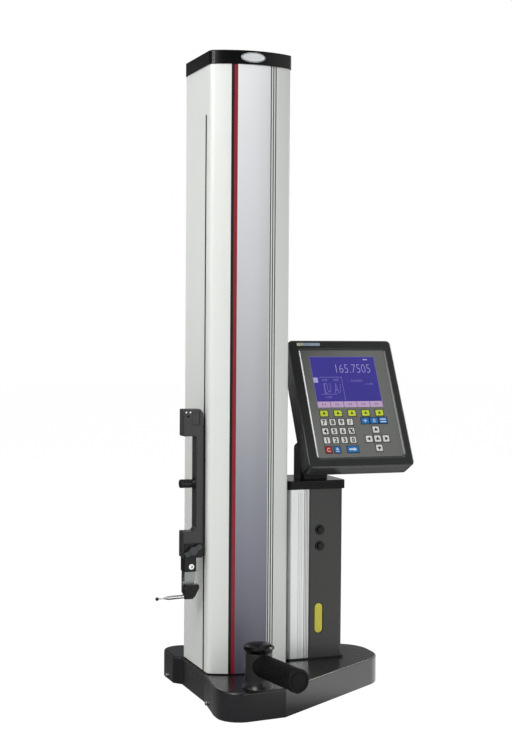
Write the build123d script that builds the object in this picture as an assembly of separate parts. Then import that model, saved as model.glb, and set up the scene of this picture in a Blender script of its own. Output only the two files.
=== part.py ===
from build123d import *

import os
from math import cos, radians, sin

# Motorised height gauge. Millimetres, +Z up, -Y is the operator's side.
# Origin: on the surface plate, under the middle of the column.

# ---- base ----
BASE_H = 44.0             # cast base, top above the plate
BASE_EDGE_R = 3.0         # rounding of the casting's top edge
BASE_FOOT_R = 2.0         # and of its lower edge
BASE_END_R = 56.0         # rounded right end
BASE_WAIST_X = -69.0      # left wall beside the column
BASE_LEFT_X = -80.0       # left wall at the front and rear lobes
BASE_RIGHT_X = 246.0      # right end
BASE_FRONT_Y = -194.0     # front wall
BASE_BACK_Y = 156.0       # rear-left corner
BASE_RIM = 17.0           # lapped rim round the underside
BASE_POCKET = 26.0        # depth of the pockets under the base
PAD_R = 17.0              # air-bearing pads
PAD_T = 6.0
PAD_PLACES = [(-48, 118), (-46, -158), (212, 34)]
PIN_R = 3.5               # guide pins in the left wall
PIN_Z = 6.0
PIN_TIPS = [(-76.2, -90), (-83.5, 99)]

# ---- column ----
SEAL_T = 2.0              # gasket between base and column
COL_W = 131.0
COL_D = 120.0
COL_SHOULDER = 8.0        # sides run this far past the square before the arched front starts
COL_ARCH = 17.0           # rise of the arched front
COL_WALL = 3.0
COL_FRONT_R = 10.0
COL_BACK_R = 6.0
COL_TOP = 979.0           # top of the column cover
CAP_H = 21.0
CAP_LIP = 1.5             # how far the cap stands proud of the cover
SLOT_Y = -47.0            # middle of the carriage slot in the left wall
SLOT_W = 5.4
SLOT_TOP = 905.0
TRIM_DEPTH = 1.0          # recess for the stripes and the front panel
TRIM_BLACK_X = (-36.0, -31.8)
TRIM_RED_X = (-31.8, -26.4)
PANEL_X = (-26.4, 25.4)
TRIM_Z = (BASE_H + SEAL_T, COL_TOP)
FLUTE_X = (27.6, 31.8, 36.0)
FLUTE_W = 2.0
FLUTE_D = 2.2

# ---- drive and guide inside the column ----
BEAM_X = 53.5             # half width of the structural beam
BEAM_Y = (4.0, 57.0)
BEAM_WALL = 6.0
BEAM_TOP = 965.0
TOP_PLATE_T = 8.0
RAIL_X = -33.5
RAIL_W = 16.0
RAIL_D = 14.0
SCALE_X = (-6.0, 8.0)
SCALE_T = 3.0
PULLEY_X = 4.5            # pulleys turn about Y
PULLEY_Y = -56.0
PULLEY_R = 20.0           # pitch radius
BELT_T = 1.6
BELT_W = 8.0
DRIVE_Z = 85.0
IDLER_Z = 935.0
RUN_GAP = 0.05            # radial running clearance of every shaft in its hole
TRAVEL_UP = 456.0
TRAVEL_DOWN = 159.0
WEIGHT_X = (27.0, 57.0)
WEIGHT_Y = (-60.0, -20.0)
WEIGHT_Z = (515.0, 665.0)
ROD_X = 45.0
ROD_Y = -36.0
ROD_R = 4.0

# ---- carriage and probe ----
TRUCK_X = (-55.5, -21.5)
TRUCK_Y = (-45.0, -12.0)
ARM_Z = (226.0, 428.0)
ARM_T = 4.0
BRACKET_X = (-102.3, -71.0)
BRACKET_WEB_X = -81.8
BRACKET_Y = (-58.0, -36.0)
BRACKET_Z = (224.5, 453.0)
BLOCK_TOP_Z = 265.0       # top of the lower block
BLOCK_LOW_Z = 411.5       # underside of the upper block
BORE_X = -95.0            # free accessory bore in the upper block
BORE_R = 4.0
KNOB_Z = 338.0
KNOB_R = 6.7
CLAMP_X = -88.0
CLAMP_Z = 236.0
HOLDER_X = (-100.5, -81.5)
HOLDER_Y = (-58.0, -39.5)
HOLDER_Z = (203.5, 224.5)
SHANK_Z = (188.2, 203.5)
SWIVEL_X = -88.0
SWIVEL_Y = (-58.0, -46.0)
SWIVEL_Z = 172.0
STYLUS_DROP = 7.4         # stylus axis below the swivel pin
STYLUS_TILT = 2.0         # degrees nose down at rest
STYLUS_R = 3.0
BALL_R = 2.75
BALL_REACH = 54.0         # swivel pin to ball centre

# ---- pillar ----
PILLAR_X = (83.5, 180.0)
PILLAR_Y = (-21.0, 74.0)
PILLAR_Z = (46.5, 319.5)
PILLAR_WALL = 3.0
PILLAR_SPLIT_X = 122.5    # silver extrusion to the left, dark cover to the right
PILLAR_CAP_H = 14.0
BUTTON_X = 139.3
BUTTON_Z = (253.5, 227.5)
INSERT_Z = (86.5, 134.0)
INSERT_W = 13.0

# ---- display ----
NECK_X = 141.0
NECK_Y = 25.0
NECK_W = 47.0
NECK_D = 40.0
NECK_TOP = 391.0
HINGE_Y = 2.0
HINGE_Z = 378.0
HINGE_PIN_R = 3.0
SCREEN_TILT = 26.5        # degrees back from upright
PANEL_C = (196.8, -15.0, 458.4)
CASE_W = 184.0
CASE_H = 224.0
CASE_T = 37.5
CASE_R = 8.0
CASE_SHIFT = -1.8         # the case runs further past the foil on the left
FACE_W = 148.5            # keypad foil and screen field
FACE_H = 189.0
FACE_DEPTH = 2.0          # foil's surface below the front of the bezel
BEZEL_SLOPE = 3.4         # width of the sloping wall round the face
SPLIT_DEPTH = 9.0         # joint between bezel and housing
LCD_W = 116.0
LCD_H = 91.0
LCD_AT = (-2.5, 37.8)
KEY_RISE = 0.5

# ---- handle ----
POST_X = -18.5
POST_Y = -168.0
POST_R = 20.5
POST_FLARE = 3.5          # how far the foot of the post spreads
POST_TOP = 98.0
STEM_R = 12.0             # stem of the air button
GRIP_Z = 79.5
GRIP_AIM = 9.0            # degrees from -Y towards +X
GRIP_R = 17.0
GRIP_END = 118.0          # post axis to the end of the grip
BUTTON_TRAVEL = 3.0


# ---- small helpers ----
def block(x, y, z):
    """Box between two values on each axis."""
    size = [max(span) - min(span) for span in (x, y, z)]
    middle = [sum(span) / 2 for span in (x, y, z)]
    return Pos(*middle) * Box(*size)


def bar_z(x, y, radius, z):
    """Round bar along Z between two heights."""
    return Pos(x, y, sum(z) / 2) * Cylinder(radius, z[1] - z[0])


def bar_y(x, z, radius, y):
    """Round bar along Y between two depths."""
    return Pos(x, sum(y) / 2, z) * Rot(X=90) * Cylinder(radius, y[1] - y[0])


def bar_x(y, z, radius, x):
    """Round bar along X between two values."""
    return Pos(sum(x) / 2, y, z) * Rot(Y=90) * Cylinder(radius, x[1] - x[0])


def prism(plan, z):
    """Plan drawn on XY, raised between two heights."""
    return extrude(Pos(0, 0, z[0]) * plan, amount=z[1] - z[0])


def rounded_plan(corners):
    """Closed plan from (x, y, radius) corners."""
    plan = make_face(Polyline(*[(x, y) for x, y, _ in corners], close=True).edges())
    for x, y, radius in corners:
        if radius:
            plan = fillet(plan.vertices().sort_by_distance(Vector(x, y, 0))[0], radius)
    return plan


# ---- base ----
def base_plan():
    """Waisted triangle: flush with the column on the left, drawn out to the right."""
    return rounded_plan([
        (BASE_WAIST_X, -64, 12),
        (BASE_LEFT_X, -142, 20),
        (BASE_LEFT_X - 1, BASE_FRONT_Y - 2, 36),
        (20, BASE_FRONT_Y + 10, 3),
        (BASE_RIGHT_X, -27, BASE_END_R),
        (BASE_RIGHT_X, 66, BASE_END_R),
        (BASE_LEFT_X, BASE_BACK_Y, 32),
        (BASE_LEFT_X, 68, 7),
        (BASE_WAIST_X, 55, 5),
    ])


def base_casting():
    body = prism(base_plan(), (0, BASE_H))
    rim = body.faces().sort_by(Axis.Z)[-1].outer_wire().edges()
    body = fillet(rim, BASE_EDGE_R)
    body = fillet(body.faces().sort_by(Axis.Z)[0].outer_wire().edges(), BASE_FOOT_R)
    pocket = offset(base_plan(), amount=-BASE_RIM, kind=Kind.INTERSECTION)
    for x, y in PAD_PLACES:
        pocket -= Pos(x, y) * Circle(PAD_R + 7)
    pocket -= Rectangle(COL_W + 8, COL_D + 10)
    pocket -= Pos(POST_X, POST_Y) * Circle(POST_R + 5)
    pocket -= Pos(95, 20) * Rectangle(10, 300)
    body -= prism(pocket, (0, BASE_POCKET))
    for x, y in PAD_PLACES:
        body -= bar_z(x, y, PAD_R, (0, PAD_T))
    for x, y in PIN_TIPS:
        body -= bar_x(y, PIN_Z, PIN_R, (x, x + 15))
    body -= bar_z(POST_X, POST_Y, 8, (BASE_H - 14, BASE_H))
    body -= bar_z(ROD_X, ROD_Y, ROD_R, (BASE_H - 10, BASE_H))
    return body


def air_pads():
    """Lapped discs with a feed hole and a shallow ring groove, flush with the underside."""
    pads = []
    for x, y in PAD_PLACES:
        pad = bar_z(x, y, PAD_R, (0, PAD_T)) - bar_z(x, y, 1.0, (0, PAD_T))
        groove = bar_z(x, y, PAD_R * 0.6, (0, 0.5)) - bar_z(x, y, PAD_R * 0.6 - 1.5, (0, 0.5))
        pads.append(pad - groove)
    return pads


def guide_pins():
    pins = []
    for x, y in PIN_TIPS:
        pin = bar_x(y, PIN_Z, PIN_R, (x, x + 15))
        tip = pin.edges().filter_by(GeomType.CIRCLE).sort_by(Axis.X)[0]
        pins.append(fillet(tip, 1.5))
    return pins


# ---- column ----
def column_plan(inset=0.0):
    """Flat back and sides with a shallow arched front."""
    side, back = COL_W / 2, COL_D / 2
    shoulder = -back - COL_SHOULDER
    walls = Polyline((-side, shoulder), (-side, back), (side, back), (side, shoulder))
    arch = ThreePointArc((side, shoulder), (0, shoulder - COL_ARCH), (-side, shoulder))
    plan = make_face(walls.edges() + arch.edges())
    plan = fillet(plan.vertices().sort_by(Axis.Y)[-2:], COL_BACK_R)
    plan = fillet(plan.vertices().sort_by(Axis.Y)[:2], COL_FRONT_R)
    return offset(plan, amount=-inset, kind=Kind.INTERSECTION) if inset else plan


def front_skin(x):
    """Strip of the column's front surface between two X values, one recess deep."""
    skin = column_plan() - column_plan(TRIM_DEPTH)
    middle, width = sum(x) / 2, x[1] - x[0]
    return skin & (Pos(middle, -COL_D / 2 - 12) * Rectangle(width, 40))


def column_cover():
    cover = prism(column_plan() - column_plan(COL_WALL), (BASE_H + SEAL_T, COL_TOP))
    cover -= prism(front_skin((TRIM_BLACK_X[0], PANEL_X[1])), TRIM_Z)
    slot = (SLOT_Y - SLOT_W / 2, SLOT_Y + SLOT_W / 2)
    left = -COL_W / 2
    cover -= block((left - 1, left + COL_WALL + 1), slot, (BASE_H, SLOT_TOP))
    for x in FLUTE_X:
        skin = column_plan() - column_plan(FLUTE_D)
        flute = skin & (Pos(x, -COL_D / 2 - 12) * Rectangle(FLUTE_W, 40))
        cover -= prism(flute, (BASE_H + SEAL_T, COL_TOP))
    return cover


def trim_black():
    return prism(front_skin(TRIM_BLACK_X), TRIM_Z)


def trim_red():
    return prism(front_skin(TRIM_RED_X), TRIM_Z)


def front_panel():
    """Bare panel let into the arched front."""
    return prism(front_skin(PANEL_X), TRIM_Z)


def column_cap():
    """Moulded cap with a lip over the cover and a plug inside it."""
    cap = prism(offset(column_plan(), amount=CAP_LIP, kind=Kind.INTERSECTION),
                (COL_TOP, COL_TOP + CAP_H))
    top = cap.faces().sort_by(Axis.Z)[-1].outer_wire().edges()
    cap = fillet(top, 1.2)
    plug = column_plan(COL_WALL + 0.3) - column_plan(COL_WALL + 2.3)
    cap += prism(plug, (COL_TOP - 6, COL_TOP))
    return cap


def cap_badge():
    """Bare oval plate, curved to the front of the cap."""
    face = offset(column_plan(), amount=CAP_LIP + 1.0, kind=Kind.INTERSECTION)
    face -= offset(column_plan(), amount=CAP_LIP, kind=Kind.INTERSECTION)
    band = prism(face & (Pos(-3.5, -75) * Rectangle(50, 40)), (COL_TOP, COL_TOP + CAP_H))
    oval = Plane.XZ * Ellipse(19.5, 7.6)
    return band & extrude(Pos(-3.5, -60, COL_TOP + CAP_H / 2) * oval, amount=60)


def column_beam():
    outer = Pos(0, sum(BEAM_Y) / 2) * Rectangle(2 * BEAM_X, BEAM_Y[1] - BEAM_Y[0])
    outer = fillet(outer.vertices(), 3)
    hollow = Pos(BEAM_X / 2, sum(BEAM_Y) / 2) * Rectangle(
        BEAM_X - 1.5 * BEAM_WALL, BEAM_Y[1] - BEAM_Y[0] - 2 * BEAM_WALL)
    hollow = fillet(hollow.vertices(), 3)
    return prism(outer - hollow - mirror(hollow, about=Plane.YZ), (BASE_H, BEAM_TOP))


def top_plate():
    """Lid of the beam, with the hanger and axle of the top pulley."""
    plate = prism(column_plan(COL_WALL + 3), (BEAM_TOP, BEAM_TOP + TOP_PLATE_T))
    plate -= bar_z(ROD_X, ROD_Y, ROD_R, (BEAM_TOP, BEAM_TOP + 4))
    plate += block((PULLEY_X - 15, PULLEY_X + 15), (-48, -43), (IDLER_Z - 12, BEAM_TOP + 1))
    plate += bar_y(PULLEY_X, IDLER_Z, 4, (-63, -46))
    return plate + bar_y(PULLEY_X, IDLER_Z, 6, (-65, -62.5))


def rail_plan(gap=0.0):
    """Cross-section of the guide rail, or of the tunnel round it."""
    y = BEAM_Y[0] - RAIL_D / 2
    plan = Pos(RAIL_X, y) * Rectangle(RAIL_W, RAIL_D)
    for side in (-1, 1):
        plan -= Pos(RAIL_X + side * RAIL_W / 2, y) * Rectangle(5, 4)
    return offset(plan, amount=gap, kind=Kind.INTERSECTION) if gap else plan


def guide_rail():
    """Profile rail with a waist that the guide blocks hook into."""
    return prism(rail_plan(), (60, 955))


def glass_scale():
    return block(SCALE_X, (BEAM_Y[0] - SCALE_T, BEAM_Y[0]), (75, 945))


def foot_seal():
    ring = column_plan(0.8) - Pos(0, sum(BEAM_Y) / 2) * Rectangle(
        2 * BEAM_X + 1, BEAM_Y[1] - BEAM_Y[0] + 1)
    ring -= Pos(ROD_X, ROD_Y) * Circle(ROD_R + 1)
    ring -= Pos(PULLEY_X, -25) * Rectangle(62, 56)
    return prism(ring, (BASE_H, BASE_H + SEAL_T))


# ---- drive ----
def motor_bracket():
    plate = block((PULLEY_X - 22, PULLEY_X + 20), (-50, -46), (BASE_H, DRIVE_Z + 26))
    foot = block((PULLEY_X - 22, PULLEY_X + 20), (-46, 0), (BASE_H, BASE_H + 5))
    return plate + foot - bar_y(PULLEY_X, DRIVE_Z, 11, (-50, -46))


def drive_motor():
    """Geared motor; its shaft runs through the bracket and carries the drive pulley."""
    body = bar_y(PULLEY_X, DRIVE_Z, 20.5, (-46, -2))
    nose = bar_y(PULLEY_X, DRIVE_Z, 11, (-50, -46))
    body = chamfer(body.edges().filter_by(GeomType.CIRCLE), 1.0)
    return body + nose - bar_y(PULLEY_X, DRIVE_Z, 4 + RUN_GAP, (-50, -40))


def pulley(z, bore_r):
    """Flanged belt wheel."""
    y0, y1 = PULLEY_Y - BELT_W / 2, PULLEY_Y + BELT_W / 2
    tread = PULLEY_R - BELT_T / 2 - RUN_GAP
    wheel = bar_y(PULLEY_X, z, tread, (y0 - 0.2, y1 + 0.2))
    for inner, outer in ((y0 - 1.6, y0 - 0.2), (y1 + 0.2, y1 + 1.6)):
        wheel += bar_y(PULLEY_X, z, PULLEY_R + 0.6, (inner, outer))
    return wheel - bar_y(PULLEY_X, z, bore_r, (y0 - 2, y1 + 2)) if bore_r else wheel


def drive_pulley():
    return pulley(DRIVE_Z, 0) + bar_y(PULLEY_X, DRIVE_Z, 4, (PULLEY_Y + BELT_W / 2 + 1.6, -40))


def top_pulley():
    return pulley(IDLER_Z, 4 + RUN_GAP)


def drive_belt():
    """Closed belt loop round both pulleys."""
    span = IDLER_Z - DRIVE_Z
    middle = (IDLER_Z + DRIVE_Z) / 2
    outer = SlotCenterToCenter(span, 2 * PULLEY_R + BELT_T)
    inner = SlotCenterToCenter(span, 2 * PULLEY_R - BELT_T)
    loop = Plane.XZ * Rot(Z=90) * (outer - inner)
    belt = extrude(loop, amount=BELT_W / 2, both=True)
    return Pos(PULLEY_X, PULLEY_Y, middle) * belt


def counterweight():
    weight = block(WEIGHT_X, WEIGHT_Y, WEIGHT_Z)
    weight = fillet(weight.edges().filter_by(Axis.Z), 3)
    belt_x = PULLEY_X + PULLEY_R + BELT_T / 2 + RUN_GAP
    middle = sum(WEIGHT_Z) / 2
    weight += block((belt_x, WEIGHT_X[0] + 1), (-60, -52), (middle - 10, middle + 10))
    return weight - bar_z(ROD_X, ROD_Y, ROD_R + RUN_GAP, WEIGHT_Z)


def counterweight_rod():
    return bar_z(ROD_X, ROD_Y, ROD_R, (BASE_H - 10, BEAM_TOP + 4))


# ---- carriage ----
def carriage_truck():
    """Frame that joins the guide blocks, the arm and the belt."""
    body = block(TRUCK_X, TRUCK_Y, ARM_Z)
    for z in ((296, 358), (234, 240), (420, 424)):
        body -= block((TRUCK_X[0] + 6, TRUCK_X[1] - 6), (-38, TRUCK_Y[1]), z)
    body = chamfer(body.edges().filter_by(Axis.Y), 1.0)
    belt_x = PULLEY_X - PULLEY_R - BELT_T / 2 - RUN_GAP
    body += block((TRUCK_X[1] - 1, belt_x), (-61, -40), (380, 400))
    return body - block((belt_x - 3, belt_x), (-51, -40), (379, 401))


def guide_blocks():
    blocks = []
    for z in ((240, 290), (364, 414)):
        body = block((RAIL_X - 15.5, RAIL_X + 15.5), (TRUCK_Y[1], BEAM_Y[0] - 2), z)
        blocks.append(body - prism(rail_plan(RUN_GAP), (z[0] - 1, z[1] + 1)))
    return blocks


def read_head():
    body = block((TRUCK_X[1], SCALE_X[1]), (-22, BEAM_Y[0] - SCALE_T - 0.4), (300, 335))
    return chamfer(body.edges().filter_by(Axis.Z).sort_by(Axis.X)[-2:], 2.0)


def arm_plate():
    """Thin arm that reaches through the column's slot, with the flange outside it."""
    y = (-49, TRUCK_Y[0])
    arm = block((BRACKET_X[1], -25), y, ARM_Z)
    arm += block((BRACKET_X[1], BRACKET_X[1] + 3), (-55, -39), ARM_Z)
    for z in (275, 320, 381):
        arm -= bar_y(-40, z, 3, (-50, -44))
    return arm


def bracket_profile():
    """Side view of the probe bracket: two blocks joined by a web."""
    right, left = BRACKET_X[1], BRACKET_X[0]
    low, high = BRACKET_Z
    outline = Polyline(
        (right, low), (right, high - 5.5), (right - 4.5, high), (left, high),
        (left, BLOCK_LOW_Z), (BRACKET_WEB_X, BLOCK_LOW_Z), (BRACKET_WEB_X, BLOCK_TOP_Z),
        (left, BLOCK_TOP_Z), (left, low), close=True)
    profile = make_face(outline.edges())
    for x, z, radius in ((BRACKET_WEB_X, BLOCK_LOW_Z, 3), (BRACKET_WEB_X, BLOCK_TOP_Z, 6),
                         (left, high, 1.5), (left, BLOCK_LOW_Z, 1.5),
                         (left, BLOCK_TOP_Z, 1.5), (left, low, 1.5)):
        corner = profile.vertices().sort_by_distance(Vector(x, z, 0))[0]
        profile = fillet(corner, radius)
    return profile


def probe_bracket():
    front, back = BRACKET_Y
    body = extrude(Pos(0, back, 0) * (Plane.XZ * bracket_profile()), amount=back - front)
    middle = (front + back) / 2
    body = chamfer(body.faces().sort_by(Axis.Y)[0].outer_wire().edges(), 0.6)
    body -= block((-89.5, -76), (front, front + 2), (428.5, 449))
    body -= bar_y(BORE_X, 442, 1.5, (front, middle - BORE_R))
    body -= bar_z(BORE_X, middle, BORE_R, (BLOCK_LOW_Z, BRACKET_Z[1]))
    top_edge = body.edges().filter_by(GeomType.CIRCLE).filter_by(
        lambda e: abs(e.radius - BORE_R) < 0.01).sort_by(Axis.Z)[-1]
    body = chamfer(top_edge, 0.8)
    for z in (381, 275):
        body -= bar_x(middle, z, 4.2, (BRACKET_WEB_X, BRACKET_WEB_X + 4))
        body -= bar_x(middle, z, 2.5, (BRACKET_WEB_X + 4, BRACKET_X[1]))
    body -= bar_x(middle, KNOB_Z, 3 + RUN_GAP, (BRACKET_WEB_X, BRACKET_X[1]))
    return body - bar_y(CLAMP_X, CLAMP_Z, 3 + RUN_GAP, (front, middle))


def bracket_screws():
    """Socket screws that hold the bracket to the arm."""
    middle = sum(BRACKET_Y) / 2
    screws = []
    for z in (381, 275):
        head = bar_x(middle, z, 4.2, (BRACKET_WEB_X + 0.8, BRACKET_WEB_X + 4))
        head += bar_x(middle, z, 2.5, (BRACKET_WEB_X + 4, BRACKET_X[1]))
        socket = Pos(BRACKET_WEB_X + 0.8, middle, z) * Rot(Y=90) * RegularPolygon(2.0, 6)
        screws.append(head - extrude(socket, amount=2))
    return screws


def fine_knob():
    """Knurled thumb knob on a spindle through the web."""
    middle = sum(BRACKET_Y) / 2
    face = BRACKET_WEB_X - 0.1
    knob = bar_x(middle, KNOB_Z, KNOB_R, (-105, face - 6))
    knob = chamfer(knob.edges().filter_by(GeomType.CIRCLE).sort_by(Axis.X)[0], 0.8)
    flutes = 24
    for i in range(flutes):
        angle = 360 / flutes * i
        groove = bar_x(0, KNOB_R + 0.2, 0.45, (-104, face - 8))
        knob -= Pos(0, middle, KNOB_Z) * Rot(X=angle) * groove
    flare = Pos(face - 3, middle, KNOB_Z) * Rot(Y=90) * Cone(5.0, 9.6, 6)
    return knob + flare + bar_x(middle, KNOB_Z, 3, (face - 1, BRACKET_X[1] - 0.5))


def clamp_lever():
    """Wing lever in front of the probe clamp."""
    front = HOLDER_Y[0] - 2.1
    hub = bar_y(0, 0, 6.5, (front - 7, front))
    wing = extrude(Plane.XZ * SlotOverall(31, 9), amount=4)
    wing = chamfer(wing.faces().sort_by(Axis.Y)[0].outer_wire().edges(), 1.0)
    lever = Rot(Y=-30) * (hub + Pos(0, front - 2, 0) * wing)
    lever += bar_y(0, 0, 3, (front - 1, BRACKET_Y[0] + 9))
    return Pos(CLAMP_X, 0, CLAMP_Z) * lever


# ---- probe ----
def probe_holder():
    """Black clamp block under the bracket, with a plate up its front."""
    x0, x1 = HOLDER_X
    z0, z1 = HOLDER_Z
    plate_x = BRACKET_X[1] - 1.5
    outline = Polyline((x0, z0), (x1, z0), (x1, z1), (plate_x, z1), (plate_x, z1 + 22),
                       (x0, z1 + 22), close=True)
    front = HOLDER_Y[0]
    plate = extrude(Pos(0, front, 0) * (Plane.XZ * make_face(outline.edges())), amount=2)
    plate = chamfer(plate.faces().sort_by(Axis.Y)[0].outer_wire().edges(), 0.5)
    body = plate + block(HOLDER_X, HOLDER_Y, HOLDER_Z)
    body -= bar_y(CLAMP_X, CLAMP_Z, 3 + RUN_GAP, (front - 2, front))
    return body - bar_y(-89.5, 211, 4.2, (front - 2, front + 4))


def holder_screw():
    """Bright socket screw in the clamp block and a grub screw in the shank."""
    front = HOLDER_Y[0]
    screw = bar_y(-89.5, 211, 4.2, (front - 2.4, front + 4))
    socket = Pos(-89.5, front - 2.4, 211) * (Plane.XZ * RegularPolygon(2.4, 6))
    screw -= extrude(socket, amount=-3)
    side = HOLDER_X[0] + 1
    grub = bar_x(-49, 190, 2.5, (side - 0.6, side + 5))
    socket = Pos(side - 0.6, -49, 190) * Rot(Y=90) * RegularPolygon(1.3, 6)
    return [screw, grub - extrude(socket, amount=2)]


def probe_shank():
    """Steel shank with a tongue behind the swivel head."""
    x0, x1 = HOLDER_X[0] + 1, HOLDER_X[1] - 1
    body = block((x0, x1), (HOLDER_Y[0] + 1, HOLDER_Y[1] - 1), SHANK_Z)
    body = chamfer(body.edges().sort_by(Axis.Z)[-4:], 0.8)
    tongue = block((x0, x1 + 2), (SWIVEL_Y[1] + 0.1, HOLDER_Y[1] - 1),
                   (SWIVEL_Z - 6, SHANK_Z[0]))
    tongue = fillet(tongue.edges().filter_by(Axis.Y).sort_by(Axis.Z)[:2], 5)
    body += tongue
    body -= bar_y(SWIVEL_X, SWIVEL_Z, 3 + RUN_GAP, (SWIVEL_Y[1], HOLDER_Y[1]))
    side = HOLDER_X[0] + 1
    return body - bar_x(-49, 190, 2.5, (side, side + 5))


def swivel_head():
    """Faceted knuckle that turns on a pin in the shank's tongue."""
    corners = [(-11.2, -11.4), (-11.2, 4.0), (-7.5, 10.2), (11.8, 10.2), (12.2, 5.0),
               (5.5, -8.0), (1.5, -11.4)]
    outline = make_face(Polyline(*corners, close=True).edges())
    outline = fillet(outline.vertices(), 1.2)
    front, back = SWIVEL_Y
    head = extrude(Pos(0, back, 0) * (Plane.XZ * outline), amount=back - front)
    head = chamfer(head.faces().sort_by(Axis.Y)[0].outer_wire().edges(), 0.8)
    head += bar_y(0, 0, 6.0, (front - 1.2, front))
    slit = block((-5, 5), (front - 1.2, front - 0.5), (-0.7, 0.7))
    head -= Rot(Y=-35) * slit
    head += bar_y(0, 0, 3, (back - 1, HOLDER_Y[1]))
    head += bar_y(0, 0, 4.5, (HOLDER_Y[1] - 0.9, HOLDER_Y[1] + 0.6))
    head -= Pos(0, sum(SWIVEL_Y) / 2, 0) * stylus_line(STYLUS_R, (4, 20))
    return Pos(SWIVEL_X, 0, SWIVEL_Z) * head


def stylus_line(radius, reach):
    """Round bar along the stylus axis, measured out from the swivel pin."""
    bar = bar_x(0, -STYLUS_DROP, radius, (-reach[1], -reach[0]))
    return Rot(Y=-STYLUS_TILT) * bar


def stylus():
    """Turned bar, cone and thin shank, hollowed for the ball."""
    profile = Polyline((-4, 0), (-4, STYLUS_R), (-37, STYLUS_R), (-43.5, 1.2), (-43.5, 1.0),
                       (1.5 - BALL_REACH, 1.0), (1.5 - BALL_REACH, 0), close=True)
    bar = revolve(make_face(profile.edges()), axis=Axis.X)
    middle = sum(SWIVEL_Y) / 2
    bar = Rot(Y=-STYLUS_TILT) * Pos(0, 0, -STYLUS_DROP) * bar
    return Pos(SWIVEL_X, middle, SWIVEL_Z) * bar - stylus_ball()


def stylus_ball():
    middle = sum(SWIVEL_Y) / 2
    ball = Pos(-BALL_REACH, 0, -STYLUS_DROP) * Sphere(BALL_R)
    return Pos(SWIVEL_X, middle, SWIVEL_Z) * Rot(Y=-STYLUS_TILT) * ball


# ---- pillar ----
def pillar_plan(inset=0.0):
    x0, x1 = PILLAR_X
    y0, y1 = PILLAR_Y
    corners = [(x0, y0, 7), (x1, y0, 7), (x1, y1, 7), (x0, y1, 7)]
    plan = rounded_plan(corners)
    return offset(plan, amount=-inset, kind=Kind.INTERSECTION) if inset else plan


def pillar_side(x):
    """Part of the pillar's wall between two X values."""
    ring = pillar_plan() - pillar_plan(PILLAR_WALL)
    window = Pos(sum(x) / 2, sum(PILLAR_Y) / 2) * Rectangle(x[1] - x[0], 200)
    return prism(ring & window, PILLAR_Z)


def pillar_shell():
    """Aluminium extrusion with ribs beside the dark cover."""
    shell = pillar_side((PILLAR_X[0] - 1, PILLAR_SPLIT_X))
    y0, y1 = PILLAR_Y
    for i in range(4):
        x = 112.0 + 2.6 * i
        for y in (y0, y1):
            shell -= block((x, x + 1.3), (y - 0.8, y + 0.8), PILLAR_Z)
    for y in (y0, y1):
        edge = Pos(PILLAR_SPLIT_X, y) * Rot(Z=45) * Rectangle(1.8, 1.8)
        shell -= prism(edge, PILLAR_Z)
    return shell


def pillar_cover():
    cover = pillar_side((PILLAR_SPLIT_X, PILLAR_X[1] + 1))
    front = PILLAR_Y[0]
    for z in BUTTON_Z:
        cover -= bar_y(BUTTON_X, z, 6.5, (front - 1, front + PILLAR_WALL + 1))
    x = BUTTON_X - 0.7
    window = SlotOverall(INSERT_Z[1] - INSERT_Z[0] + 2.4, INSERT_W + 2.4, rotation=90)
    middle = Pos(x, front + 2, sum(INSERT_Z) / 2)
    return cover - extrude(middle * (Plane.XZ * window), amount=3)


def yellow_insert():
    """Round-ended plate let into the cover."""
    plate = SlotOverall(INSERT_Z[1] - INSERT_Z[0], INSERT_W, rotation=90)
    middle = Pos(BUTTON_X - 0.7, PILLAR_Y[0] + 2, sum(INSERT_Z) / 2)
    return extrude(middle * (Plane.XZ * plate), amount=1.2)


def pillar_foot():
    """Foot plate, a little longer than the pillar to the right."""
    x0, x1 = PILLAR_X
    y0, y1 = PILLAR_Y
    corners = [(x0 - 1, y0 - 1, 8), (x1 + 4.5, y0 - 1, 8), (x1 + 4.5, y1 + 1, 8), (x0 - 1, y1 + 1, 8)]
    return prism(rounded_plan(corners), (BASE_H, PILLAR_Z[0]))


def pillar_cap():
    z0, z1 = PILLAR_Z[1], PILLAR_Z[1] + PILLAR_CAP_H
    y0, y1 = PILLAR_Y
    corners = [(82, y0 - 2.5, 8), (184.5, y0 - 2.5, 10), (184.5, y1 + 1.5, 10), (82, y1 + 1.5, 8)]
    cap = prism(rounded_plan(corners), (z0, z1))
    cap = fillet(cap.faces().sort_by(Axis.Z)[-1].outer_wire().edges(), 1.5)
    cap += prism(pillar_plan(PILLAR_WALL + 0.2) - pillar_plan(PILLAR_WALL + 2.2), (z0 - 5, z0))
    return cap - bar_z(NECK_X, NECK_Y, 12 + RUN_GAP, (z0 - 1, z1 + 1))


def button_bezels():
    rings = []
    front = PILLAR_Y[0]
    for z in BUTTON_Z:
        ring = bar_y(BUTTON_X, z, 8, (front - 1.6, front))
        ring = chamfer(ring.edges().filter_by(GeomType.CIRCLE).sort_by(Axis.Y)[0], 0.6)
        ring += bar_y(BUTTON_X, z, 6.5, (front, front + 6))
        rings.append(ring - bar_y(BUTTON_X, z, 4.75 + RUN_GAP, (front - 2, front + 7)))
    return rings


def push_button(z):
    """Round push button with a dished front and a retaining collar behind the bezel."""
    front = PILLAR_Y[0]
    knob = bar_y(BUTTON_X, z, 4.75, (front - 5, front + 6.2))
    knob = fillet(knob.edges().filter_by(GeomType.CIRCLE).sort_by(Axis.Y)[0], 1.0)
    return knob + bar_y(BUTTON_X, z, 6.0, (front + 6.1, front + 7.1))


def power_button():
    return push_button(BUTTON_Z[0])


def pump_button():
    return push_button(BUTTON_Z[1])


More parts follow.
